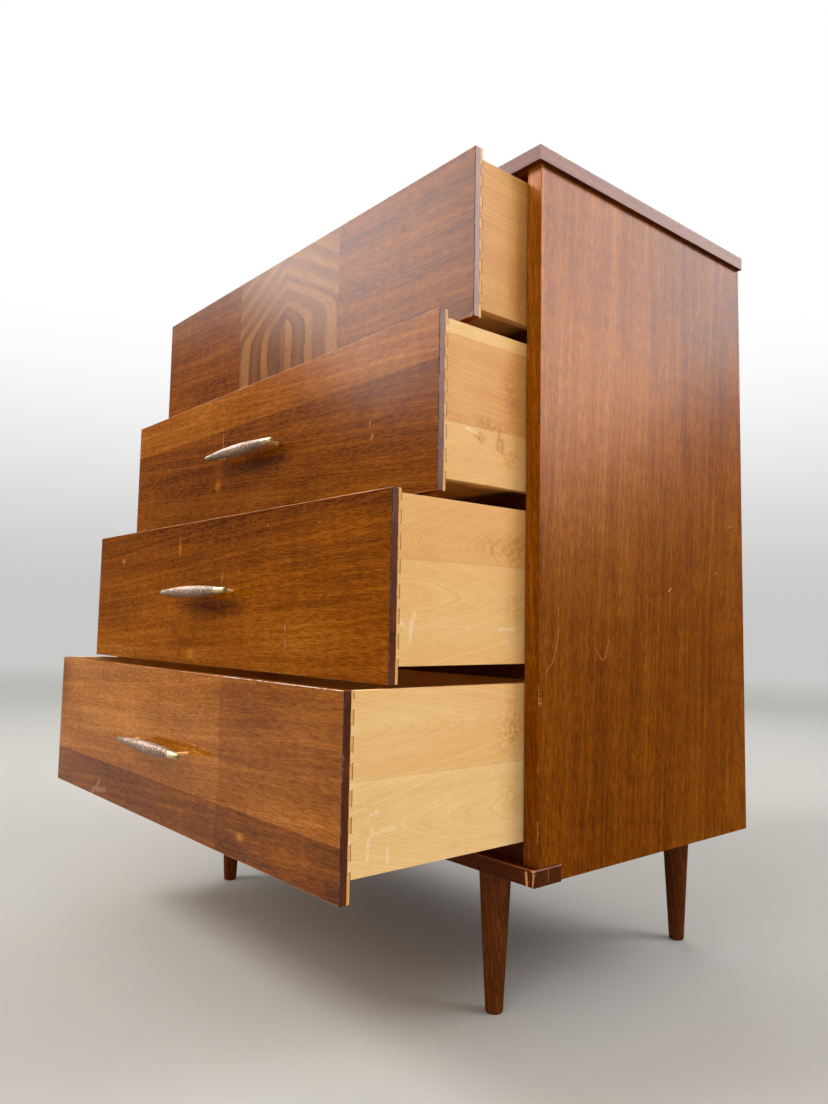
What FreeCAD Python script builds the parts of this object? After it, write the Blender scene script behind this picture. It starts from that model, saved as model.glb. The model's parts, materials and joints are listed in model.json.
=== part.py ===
import FreeCAD, Part
import os
import re
import Sketcher

# Tallboy with four dovetailed drawers on tapered round legs, in millimetres.
# X runs across the case, Y from front to back, Z up. The origin is on the ground under the middle of
# the whole piece, open drawers and pulls included. The drawers are numbered from the top and stand
# open, each by its own distance. Places along Y are worked out from the front edge of the side
# panels, and the placement of each piece takes off the distance from there to the origin.

# What each drawer's front carries, from the top drawer down
FRONT_TRIM = {1: "inlay", 2: "pull", 3: "pull", 4: "pull"}
DRAWERS = tuple(FRONT_TRIM)
ENDS = {"left": -1, "right": 1}
TAILS_PER_SIDE = 7
HEX_SIDES = 6
# Two places this close together, in millimetres, are the same place
TOUCHING = 0.01

SIZES = {
    # Outer size of the case and its height above the ground
    "case_width": 914.0,
    "case_height": 1100.0,
    "case_depth": 485.0,
    "underside_height": 187.5,
    # Top slab: a core board with mitred edge bands
    "top_thickness": 20.0,
    "top_front_overhang": 9.5,
    "top_end_overhang": 6.5,
    "edge_band_width": 8.0,
    # Side panels with a solid lipping on the front edge
    "panel_thickness": 23.0,
    "lipping_thickness": 6.0,
    # Bottom: a rail let through the side panels, and the board behind it
    "bottom_thickness": 20.0,
    "base_rail_forward": 11.0,
    "base_rail_return": 38.0,
    "base_rail_proud": 4.6,
    # Back board in rebates of the side panels
    "back_thickness": 5.0,
    "back_rebate": 11.0,
    # Frames between the drawers, let into the side panels
    "frame_thickness": 20.0,
    "frame_rail_width": 45.0,
    "runner_width": 40.0,
    "housing_depth": 8.0,
    "top_rail_thickness": 12.0,
    "lowest_runner_height": 25.8,
    # Gaps that the drawers run with
    "running_gap": 0.3,
    "kicker_gap": 3.6,
    "stop_gap": 0.3,
    "front_end_gap": 1.7,
    "front_top_gap": 1.5,
    "front_bottom_gap": 2.0,
    "front_between_gap": 3.8,
    "drawer_rear_gap": 20.0,
    # Drawer boards
    "front_thickness": 13.0,
    "side_thickness": 12.0,
    "tail_length": 4.0,
    "tail_tip_width": 15.0,
    "tail_root_width": 11.0,
    "rear_board_thickness": 12.0,
    "rear_board_setback": 12.0,
    "rear_board_drop": 3.0,
    "rear_board_housing": 5.0,
    "sheet_thickness": 5.0,
    "sheet_groove": 4.0,
    "sheet_lift": 8.0,
    # How far each drawer stands open
    "drawer_1_open": 93.0,
    "drawer_2_open": 147.0,
    "drawer_3_open": 212.0,
    "drawer_4_open": 269.5,
    # Two-leaf inlay in the front of the top drawer
    "inlay_leaf_width": 147.0,
    "inlay_thickness": 1.0,
    # Spindle pull on two posts
    "pull_length": 203.5,
    "pull_ribbed_length": 150.0,
    "pull_middle_diameter": 16.5,
    "pull_shoulder_diameter": 10.5,
    "pull_tip_diameter": 7.0,
    "pull_tip_rounding": 1.2,
    "pull_projection": 22.8,
    "post_spacing": 161.8,
    "post_diameter": 5.0,
    "stud_diameter": 4.0,
    "stud_end": 1.5,
    "nut_across_corners": 8.1,
    "nut_thickness": 3.2,
    # Tapered legs on steel plates
    "leg_inset_end": 104.5,
    "leg_inset_front": 36.5,
    "leg_inset_rear": 32.0,
    "leg_top_diameter": 43.0,
    "leg_foot_diameter": 23.0,
    "leg_foot_rounding": 2.5,
    "plate_length": 62.0,
    "plate_thickness": 3.0,
    "plate_screw_inset": 9.0,
    "hanger_diameter": 8.0,
    "hanger_in_leg": 40.0,
    "hanger_above_plate": 8.0,
    "screw_diameter": 4.0,
    "screw_length": 15.0,
    "screw_head_diameter": 8.0,
    "screw_head_height": 2.4,
    "fastener_gap": 0.1,
}

# Lengths that follow from the sizes above
DERIVED = {
    "half_width": "case_width / 2",
    "inner_half": "half_width - panel_thickness",
    "housed_half": "inner_half + housing_depth",
    "panel_top": "case_height - top_thickness",
    "top_half": "half_width + top_end_overhang",
    "bottom_top": "underside_height + bottom_thickness",
    "back_front": "case_depth - back_thickness",
    "rail_front": "front_thickness + stop_gap",
    "rail_rear": "rail_front + frame_rail_width",
    "back_rail_front": "back_front - frame_rail_width",
    "lowest_runner_top": "bottom_top + lowest_runner_height",
    "top_rail_bottom": "panel_top - top_rail_thickness",
    "frame_pitch": "(top_rail_bottom + frame_thickness - lowest_runner_top) / 4",
    "box_height": "frame_pitch - frame_thickness - running_gap - kicker_gap",
    "front_half": "inner_half - front_end_gap",
    "fronts_space": "panel_top - bottom_top - front_top_gap - front_bottom_gap",
    "front_height": "(fronts_space - 3 * front_between_gap) / 4",
    "front_pitch": "front_height + front_between_gap",
    "drawer_length": "back_front - drawer_rear_gap",
    "box_inner_half": "front_half - side_thickness",
    "rear_board_end": "drawer_length - rear_board_setback",
    "leg_top": "underside_height - plate_thickness",
    "leg_end": "half_width - leg_inset_end",
    "leg_rear": "case_depth - leg_inset_rear",
    "pull_shoulder": "pull_ribbed_length / 2",
    "pull_bulge": "(pull_middle_diameter - pull_shoulder_diameter) / 2",
    "pull_bulge_radius": "(pull_shoulder ^ 2 + pull_bulge ^ 2) / (2 * pull_bulge)",
    "front_reach": "drawer_4_open + pull_projection + pull_middle_diameter / 2",
    "origin_setback": "(case_depth - front_reach) / 2",
}

document = FreeCAD.newDocument("tallboy")
sheet = document.addObject("Spreadsheet::Sheet", "Sizes")
for row, (alias, value) in enumerate(SIZES.items(), start=1):
    sheet.set(f"A{row}", alias)
    sheet.set(f"B{row}", str(value))
    sheet.setAlias(f"B{row}", alias)
document.recompute()

pieces = {}


def bound(text):
    """Write out derived lengths and point every size at its cell."""
    def word(match):
        name = match.group(0)
        if name in DERIVED:
            return f"({bound(DERIVED[name])})"
        return f"Sizes.{name}"
    return re.sub(r"[a-z_][a-z_0-9]*", word, text)


def length(text):
    """The present value of an expression."""
    return float(sheet.evalExpression(bound(text)))


def add(kind, name, **expressions):
    """Make an object of the document with its sizes tied to the sheet."""
    item = document.addObject(kind, name)
    for size, text in expressions.items():
        item.setExpression(size, bound(text))
    return item


def place(item, x, y, z):
    """Tie an object's place to the sheet, with Y counted from the front edge of the side panels."""
    for axis, text in zip("xyz", (x, f"{y} - origin_setback", z)):
        item.setExpression(f"Placement.Base.{axis}", bound(text))
    return item


def turned(item, axis, degrees):
    """Turn an object about its own origin, before it is placed."""
    item.Placement = FreeCAD.Placement(FreeCAD.Vector(), FreeCAD.Rotation(axis, degrees))
    return item


def piece(item):
    """Keep a finished sub-part under its own name."""
    item.Label = item.Name
    pieces[item.Name] = item
    return item


def either_side(half):
    """The stretch of X from a left end to the right end that mirrors it."""
    return f"-({half})", half


def on_end(sign, inner, outer):
    """A stretch of X at the right end of the case, or its mirror image at the left end."""
    return (inner, outer) if sign > 0 else (f"-({outer})", f"-({inner})")


def up_from(start, rise):
    """A stretch that starts at one expression and is as long as another."""
    return start, f"{start} + {rise}"


def board(name, x, y, z):
    """A board between the low and high expressions along each axis."""
    item = add("Part::Box", name, Length=f"{x[1]} - ({x[0]})", Width=f"{y[1]} - ({y[0]})",
               Height=f"{z[1]} - ({z[0]})")
    return place(item, x[0], y[0], z[0])


def tapered(name, y, near_x, far_x, near_z, far_z):
    """A block whose front face and back face differ in width or height."""
    item = add("Part::Wedge", name, Ymin=y[0], Ymax=y[1],
               Xmin=near_x[0], Xmax=near_x[1], Zmin=near_z[0], Zmax=near_z[1],
               X2min=far_x[0], X2max=far_x[1], Z2min=far_z[0], Z2max=far_z[1])
    return place(item, "0", "0", "0")


def rod(name, diameter, rise, x, y, z, backwards=False):
    """A round bar that runs up, or backwards, from the middle of its end."""
    item = add("Part::Cylinder", name, Radius=f"({diameter}) / 2", Height=rise)
    if backwards:
        turned(item, FreeCAD.Vector(1, 0, 0), -90)
    return place(item, x, y, z)


def joined(name, items):
    """One solid from several that touch or overlap."""
    item = document.addObject("Part::MultiFuse", name)
    item.Shapes = items
    return item


def cut(name, base, tools):
    """A base with one or more tools cut out of it."""
    item = document.addObject("Part::Cut", name)
    item.Base = base
    item.Tool = tools[0] if len(tools) == 1 else joined(f"{name}_tools", tools)
    return item


def group(name, items):
    """Separate solids that share one name."""
    item = document.addObject("Part::Compound", name)
    item.Links = items
    return item


def origin_part(body, role):
    """A plane or an axis of a body's own origin."""
    return next(item for item in body.Origin.OriginFeatures if item.Role == role)


def hold(sketch, corner, direction, text):
    """Hold a corner of a sketch at a distance from the origin, or on an axis where it is zero."""
    if text == "0":
        axis = -1 if direction == "Y" else -2
        sketch.addConstraint(Sketcher.Constraint("PointOnObject", *corner, axis))
        return
    negative = text.startswith("-")
    ends = (*corner, -1, 1) if negative else (-1, 1, *corner)
    text = text.lstrip("-")
    number = sketch.addConstraint(Sketcher.Constraint(f"Distance{direction}", *ends, length(text)))
    name = f"{direction.lower()}_of_corner_{corner[0]}"
    sketch.renameConstraint(number, name)
    sketch.setExpression(f"Constraints.{name}", bound(text))


def outline(body, corners, bulge=None, bulge_radius=None):
    """A closed sketch in the body's upright plane through its corners, each an X and a height.
    Its edges are straight, except for the one that bulges upwards from a chosen corner."""
    sketch = body.newObject("Sketcher::SketchObject", f"{body.Name}_outline")
    sketch.AttachmentSupport = [(origin_part(body, "XZ_Plane"), "")]
    sketch.MapMode = "FlatFace"
    spots = [FreeCAD.Vector(length(x), length(z), 0) for x, z in corners]
    starts = []
    for index, start in enumerate(spots):
        end = spots[(index + 1) % len(spots)]
        if index == bulge:
            radius = length(bulge_radius)
            chord = end - start
            rise = radius - (radius ** 2 - (chord.Length / 2) ** 2) ** 0.5
            crown = start + chord / 2 + FreeCAD.Vector(0, rise, 0)
            edge = sketch.addGeometry(Part.Arc(start, crown, end), False)
            # An arc runs against the clock, so this one ends at its left corner
            starts.append(((edge, 2), (edge, 1)))
        else:
            edge = sketch.addGeometry(Part.LineSegment(start, end), False)
            starts.append(((edge, 1), (edge, 2)))
    for index, (start, _) in enumerate(starts):
        sketch.addConstraint(Sketcher.Constraint("Coincident", *starts[index - 1][1], *start))
        x, z = corners[index]
        hold(sketch, start, "X", x)
        hold(sketch, start, "Y", z)
    if bulge is not None:
        edge = starts[bulge][0][0]
        number = sketch.addConstraint(Sketcher.Constraint("Radius", edge, length(bulge_radius)))
        sketch.renameConstraint(number, "bulge_radius")
        sketch.setExpression("Constraints.bulge_radius", bound(bulge_radius))
    return sketch


def revolved(name, sketch_axis, corners, rounding, rounded_at, **bulge):
    """A turned piece about the sketch's upright or level axis, with the rims at some heights or
    places along that axis rounded."""
    body = document.addObject("PartDesign::Body", name)
    turn = body.newObject("PartDesign::Revolution", f"{name}_turn")
    turn.Profile = outline(body, corners, **bulge)
    turn.ReferenceAxis = (turn.Profile[0], [sketch_axis])
    document.recompute()
    along = "x" if sketch_axis == "H_Axis" else "z"
    rims = []
    for number, edge in enumerate(turn.Shape.Edges, start=1):
        middle = getattr(edge.BoundBox.Center, along)
        closed = len(edge.Vertexes) == 1
        if closed and any(abs(middle - length(spot)) < TOUCHING for spot in rounded_at):
            rims.append(f"Edge{number}")
    fillet = body.newObject("PartDesign::Fillet", f"{name}_rounding")
    fillet.Base = (turn, rims)
    fillet.setExpression("Radius", bound(rounding))
    body.Tip = fillet
    return body


def top_slab():
    """A core board with a front band and two end bands that meet it in mitres."""
    core_half = "(top_half - edge_band_width)"
    core_front = "edge_band_width - top_front_overhang"
    height = ("panel_top", "case_height")
    piece(board("top_panel", either_side(core_half), (core_front, "case_depth"), height))
    piece(tapered("top_edge_front", ("-top_front_overhang", core_front),
                  either_side("top_half"), either_side(core_half), height, height))
    across = ("-top_half", f"-{core_half}")
    right = tapered("top_edge_right", across, ("-top_front_overhang", "case_depth"),
                    (core_front, "case_depth"), height, height)
    left = tapered("top_edge_left", across, ("-case_depth", "top_front_overhang"),
                   ("-case_depth", f"-({core_front})"), height, height)
    for band, degrees in ((right, 90), (left, -90)):
        piece(place(turned(band, FreeCAD.Vector(0, 0, 1), degrees), "0", "0", "0"))


def leg_places():
    """The name, X and Y of each leg."""
    rows = (("front", "leg_inset_front"), ("rear", "leg_rear"))
    for row, y in rows:
        for end, sign in ENDS.items():
            yield f"{row}_{end}", "leg_end" if sign > 0 else "-leg_end", y


def screw(name, x, y, gap="0"):
    """A countersunk screw that points up into the case, or with a gap the hole for it."""
    shank = rod(f"{name}_shank", f"screw_diameter + 2 * {gap}", f"screw_length + {gap}", x, y, "leg_top")
    head = add("Part::Cone", f"{name}_head", Radius1=f"screw_head_diameter / 2 + {gap}",
               Radius2=f"screw_diameter / 2 + {gap}", Height="screw_head_height")
    return joined(name, [shank, place(head, x, y, "leg_top")])


def legs():
    """Tapered round legs on hanger bolts, and the plates that screw them to the underside.
    Gives the holes that the fixings need."""
    plates, fixings, holes = [], [], []
    for name, x, y in leg_places():
        hanger_foot = "leg_top - hanger_in_leg"
        hanger_rise = "hanger_in_leg + plate_thickness + hanger_above_plate"
        hanger_hole = rod(f"hanger_hole_{name}", "hanger_diameter + 2 * fastener_gap",
                          f"{hanger_rise} + fastener_gap", x, y, hanger_foot)
        fixings.append(rod(f"hanger_{name}", "hanger_diameter", hanger_rise, x, y, hanger_foot))
        turning = revolved(f"leg_{name}_turning", "V_Axis",
                           (("0", "0"), ("leg_foot_diameter / 2", "0"),
                            ("leg_top_diameter / 2", "leg_top"), ("0", "leg_top")),
                           "leg_foot_rounding", ("0",))
        place(turning, x, y, "0")
        piece(cut(f"leg_{name}", turning, [hanger_hole]))
        plate = board(f"plate_blank_{name}", (f"{x} - plate_length / 2", f"{x} + plate_length / 2"),
                      (f"{y} - plate_length / 2", f"{y} + plate_length / 2"), ("leg_top", "underside_height"))
        corner = "(plate_length / 2 - plate_screw_inset)"
        screw_holes = []
        for across in ENDS.values():
            for along in ENDS.values():
                at = (f"{x} + {across} * {corner}", f"{y} + {along} * {corner}")
                number = len(screw_holes) + 1
                fixings.append(screw(f"screw_{name}_{number}", *at))
                screw_holes.append(screw(f"screw_hole_{name}_{number}", *at, gap="fastener_gap"))
        plates.append(cut(f"plate_{name}", plate, [hanger_hole, *screw_holes]))
        holes += [hanger_hole, *screw_holes]
    piece(group("leg_plates", plates))
    piece(group("leg_fixings", fixings))
    return holes


def frames():
    """The rails and runners that carry the drawers. Gives the housings for them, by end."""
    housings = {end: [] for end in ENDS}
    inner_x = either_side("inner_half")
    housed_x = either_side("housed_half")
    front_y = ("rail_front", "rail_rear")
    piece(board("front_rail_top", inner_x, front_y, ("top_rail_bottom", "panel_top")))
    for number in DRAWERS:
        runner_top = f"lowest_runner_top + {DRAWERS[-1] - number} * frame_pitch"
        lowest = number == DRAWERS[-1]
        height = ("bottom_top" if lowest else f"{runner_top} - frame_thickness", runner_top)
        runner_rear = "back_front" if lowest else "back_rail_front"
        piece(board(f"front_rail_{number}", housed_x, front_y, height))
        if not lowest:
            piece(board(f"back_rail_{number}", housed_x, ("back_rail_front", "back_front"), height))
        for end, sign in ENDS.items():
            runner_x = on_end(sign, "inner_half - runner_width", "housed_half")
            piece(board(f"runner_{end}_{number}", runner_x, ("rail_rear", runner_rear), height))
            housing_x = on_end(sign, "inner_half", "housed_half")
            housings[end].append(board(f"housing_{end}_{number}", housing_x,
                                       ("rail_front", "back_front"), height))
    return housings


def case():
    """The side panels with their lippings, the bottom, the back and the frames between them."""
    top_slab()
    holes = legs()
    housings = frames()
    bottom_z = ("underside_height", "bottom_top")
    panel_z = ("underside_height", "panel_top")
    rail = board("base_rail_blank", either_side("(half_width + base_rail_proud)"),
                 ("-base_rail_forward", "base_rail_return"), bottom_z)
    floor = board("bottom_blank", either_side("housed_half"), ("base_rail_return", "back_front"), bottom_z)
    back = piece(board("back_panel", either_side("(inner_half + back_rebate)"),
                       ("back_front", "case_depth"), panel_z))
    piece(cut("base_rail", rail, holes[:len(holes) // 2]))
    piece(cut("bottom_panel", floor, holes))
    for end, sign in ENDS.items():
        panel_x = on_end(sign, "inner_half", "half_width")
        panel = board(f"side_blank_{end}", panel_x, ("lipping_thickness", "case_depth"), panel_z)
        piece(cut(f"side_panel_{end}", panel, [rail, floor, back, *housings[end]]))
        lipping = board(f"lipping_blank_{end}", panel_x, ("0", "lipping_thickness"), panel_z)
        piece(cut(f"side_lipping_{end}", lipping, [rail]))


def pull(number, face, middle):
    """A spindle bar on two posts, held by nuts inside the drawer. Gives its holes in the front."""
    tip = "pull_tip_diameter / 2"
    shoulder = "pull_shoulder_diameter / 2"
    bar = revolved(f"pull_{number}_bar", "H_Axis",
                   (("-pull_length / 2", "0"), ("-pull_length / 2", tip), ("-pull_shoulder", shoulder),
                    ("pull_shoulder", shoulder), ("pull_length / 2", tip), ("pull_length / 2", "0")),
                   "pull_tip_rounding", ("-pull_length / 2", "pull_length / 2"),
                   bulge=2, bulge_radius="pull_bulge_radius")
    piece(place(bar, "0", f"{face} - pull_projection", middle))
    posts, nuts, holes = [], [], []
    inside = f"{face} + front_thickness"
    for end, sign in ENDS.items():
        name = f"{number}_{end}"
        x = f"{sign} * post_spacing / 2"
        shaft = rod(f"shaft_{name}", "post_diameter", "pull_projection",
                    x, f"{face} - pull_projection", middle, backwards=True)
        stud = rod(f"stud_{name}", "stud_diameter", "front_thickness + nut_thickness + stud_end",
                   x, face, middle, backwards=True)
        posts.append(cut(f"post_{name}", joined(f"post_blank_{name}", [shaft, stud]), [bar]))
        nut = add("Part::Prism", f"nut_blank_{name}", Circumradius="nut_across_corners / 2",
                  Height="nut_thickness")
        nut.Polygon = HEX_SIDES
        turned(nut, FreeCAD.Vector(1, 0, 0), -90)
        nuts.append(cut(f"nut_{name}", place(nut, x, inside, middle), [stud]))
        holes.append(rod(f"stud_hole_{name}", "stud_diameter + 2 * fastener_gap", "front_thickness",
                         x, face, middle, backwards=True))
    piece(group(f"pull_{number}_fixings", posts + nuts))
    return holes


def inlay(number, face, height):
    """Two book-matched leaves let into a drawer front, flush with it."""
    depth = up_from(face, "inlay_thickness")
    leaves = [board(f"inlay_{number}_{end}", on_end(sign, "0", "inlay_leaf_width"), depth, height)
              for end, sign in ENDS.items()]
    piece(group(f"drawer_{number}_inlay", leaves))
    return leaves


def dovetailed_side(number, end, joint, floor, box_length):
    """A drawer side with its row of tails at the front end."""
    x = on_end(ENDS[end], "box_inner_half", "front_half")
    name = f"{number}_{end}"
    tails = []
    for tail in range(TAILS_PER_SIDE):
        middle = f"{floor} + ({tail} + 1 / 2) * box_height / {TAILS_PER_SIDE}"
        wide = (f"{middle} - tail_tip_width / 2", f"{middle} + tail_tip_width / 2")
        narrow = (f"{middle} - tail_root_width / 2", f"{middle} + tail_root_width / 2")
        tails.append(tapered(f"tail_{name}_{tail + 1}", (f"{joint} - tail_length", joint), x, x, wide, narrow))
    blank = board(f"drawer_side_blank_{name}", x, (joint, box_length), up_from(floor, "box_height"))
    return joined(f"drawer_side_tailed_{name}", [blank, *tails])


def drawer(number):
    """A drawer box of four boards and a bottom sheet, with its pull or inlay."""
    steps = DRAWERS[-1] - number
    face = f"-drawer_{number}_open"
    joint = f"{face} + front_thickness"
    floor = f"lowest_runner_top + running_gap + {steps} * frame_pitch"
    front_bottom = f"bottom_top + front_bottom_gap + {steps} * front_pitch"
    front_z = up_from(front_bottom, "front_height")
    rear_y = (f"{face} + rear_board_end - rear_board_thickness", f"{face} + rear_board_end")
    sheet_z = up_from(f"{floor} + sheet_lift", "sheet_thickness")
    sheet_board = piece(board(f"drawer_{number}_bottom", either_side("(box_inner_half + sheet_groove)"),
                              (f"{joint} - sheet_groove", rear_y[1]), sheet_z))
    rear = piece(board(f"drawer_{number}_back", either_side("(box_inner_half + rear_board_housing)"),
                       rear_y, (sheet_z[1], f"{floor} + box_height - rear_board_drop")))
    sides = []
    for end in ENDS:
        side = dovetailed_side(number, end, joint, floor, f"{face} + drawer_length")
        sides.append(side)
        piece(cut(f"drawer_{number}_side_{end}", side, [sheet_board, rear]))
    if FRONT_TRIM[number] == "pull":
        let_in = pull(number, face, f"{front_bottom} + front_height / 2")
    else:
        let_in = inlay(number, face, front_z)
    blank = board(f"drawer_front_blank_{number}", either_side("front_half"), (face, joint), front_z)
    piece(cut(f"drawer_{number}_front", blank, [*sides, sheet_board, *let_in]))


case()
for drawer_number in DRAWERS:
    drawer(drawer_number)
document.recompute()

for item in document.Objects:
    if {"Invalid", "Error"} & set(item.State):
        raise RuntimeError(f"{item.Label} didn't recompute: {item.State}")
for label, item in pieces.items():
    if item.Shape.isNull() or not item.Shape.isValid():
        raise RuntimeError(f"{label} has no valid shape")

os.makedirs("parts", exist_ok=True)
for label, item in pieces.items():
    item.Shape.exportStep(f"parts/{label}.step")
    print(label, len(item.Shape.Solids), round(item.Shape.Volume))
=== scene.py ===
import bmesh
import bpy
import json
import math
from mathutils import Euler, Matrix, Vector


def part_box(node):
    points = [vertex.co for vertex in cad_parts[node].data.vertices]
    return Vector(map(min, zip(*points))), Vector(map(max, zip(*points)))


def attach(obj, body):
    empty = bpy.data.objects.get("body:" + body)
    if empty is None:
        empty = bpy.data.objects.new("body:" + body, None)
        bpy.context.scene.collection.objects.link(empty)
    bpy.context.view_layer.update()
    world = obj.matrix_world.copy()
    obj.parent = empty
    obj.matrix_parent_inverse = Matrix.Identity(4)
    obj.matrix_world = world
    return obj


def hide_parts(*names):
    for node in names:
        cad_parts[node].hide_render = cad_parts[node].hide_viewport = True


# A walnut-veneered tallboy with four dovetailed drawers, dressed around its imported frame.
# Lengths are in metres. X runs across the case, Y from front to back, Z up.

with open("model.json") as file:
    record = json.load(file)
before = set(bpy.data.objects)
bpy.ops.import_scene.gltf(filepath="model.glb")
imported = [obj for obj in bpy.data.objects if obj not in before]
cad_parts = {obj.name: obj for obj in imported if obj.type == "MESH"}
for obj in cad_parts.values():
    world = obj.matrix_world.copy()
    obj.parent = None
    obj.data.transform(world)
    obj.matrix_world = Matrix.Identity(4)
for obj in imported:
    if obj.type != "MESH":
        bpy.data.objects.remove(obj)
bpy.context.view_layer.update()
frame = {"nodes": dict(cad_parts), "record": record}

MM = 0.001
DRAWERS = (1, 2, 3, 4)
PULLED_DRAWERS = (2, 3, 4)
ENDS = {"left": -1, "right": 1}
BODY_OF = {node: body for body, nodes in frame["record"]["behaviour"]["bodies"].items() for node in nodes}

# The camera stands where the photograph's lines meet, with the lens that they give
CAMERA_PLACE = (1.14044, -0.87075, 0.49256)
CAMERA_YAW = 49.78
CAMERA_PITCH = 4.936
CAMERA_ROLL = 1.056
FOCAL_PIXELS = 842.34
PHOTO_HEIGHT_PIXELS = 1104
SENSOR_MM = 36

# Joining and rounding of the boards
WELD = 0.01 * MM
FLAT_ANGLE = math.radians(0.5)
SMOOTH_SHARE = math.cos(math.radians(35))
SQUARE_ON = 0.999
ARRIS = 0.8 * MM
RAIL_ARRIS = 1.5 * MM
ROUNDING_STEPS = 3

# The stained lap of a drawer front in front of its dovetails, and the glue line around them
LAP = 9 * MM
TAIL_LENGTH = 4 * MM
GLUE_LINE = 0.35 * MM


def paint(code):
    """A colour from its web code, as the linear light that the shader takes."""
    shares = [int(code[at:at + 2], 16) / 255 for at in (0, 2, 4)]
    return (*(((share + 0.055) / 1.055) ** 2.4 if share > 0.04045 else share / 12.92 for share in shares), 1)


def tones(*stops):
    """The stops of a colour ramp, from pairs of a place and a web code."""
    return [(place, paint(code)) for place, code in stops]


# Camera, floor and light

def camera():
    data = bpy.data.cameras.new("camera")
    data.sensor_width = SENSOR_MM
    data.lens = FOCAL_PIXELS * SENSOR_MM / PHOTO_HEIGHT_PIXELS
    item = bpy.data.objects.new("camera", data)
    bpy.context.scene.collection.objects.link(item)
    level = Euler((math.radians(90 + CAMERA_PITCH), 0, math.radians(CAMERA_YAW))).to_matrix()
    turn = level @ Matrix.Rotation(math.radians(CAMERA_ROLL), 3, "Z")
    item.matrix_world = Matrix.Translation(CAMERA_PLACE) @ turn.to_4x4()
    bpy.context.scene.camera = item


HORIZON = paint("c9c9c7")
SKY = paint("ffffff")
FLOOR = paint("c2c0ba")
SKY_RISE = 0.35
SOFT_LIGHT = 0.62
FLOOR_SIZE = 60
FLOOR_FADE = (2.2, 9)

# The turn that keeps the noise off the grain, and how uneven marks are and how far they are rubbed away
NOISE_TURN = (0.7, 0.5, 0.3)
MARK_UNEVENNESS = 260
RUBBED_REPEATS = 260
RUBBED_EDGES = (0.38, 0.6)
RUBBED_ROUGHNESS = 0.7
VEIN_WIDTH = 0.05


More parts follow.
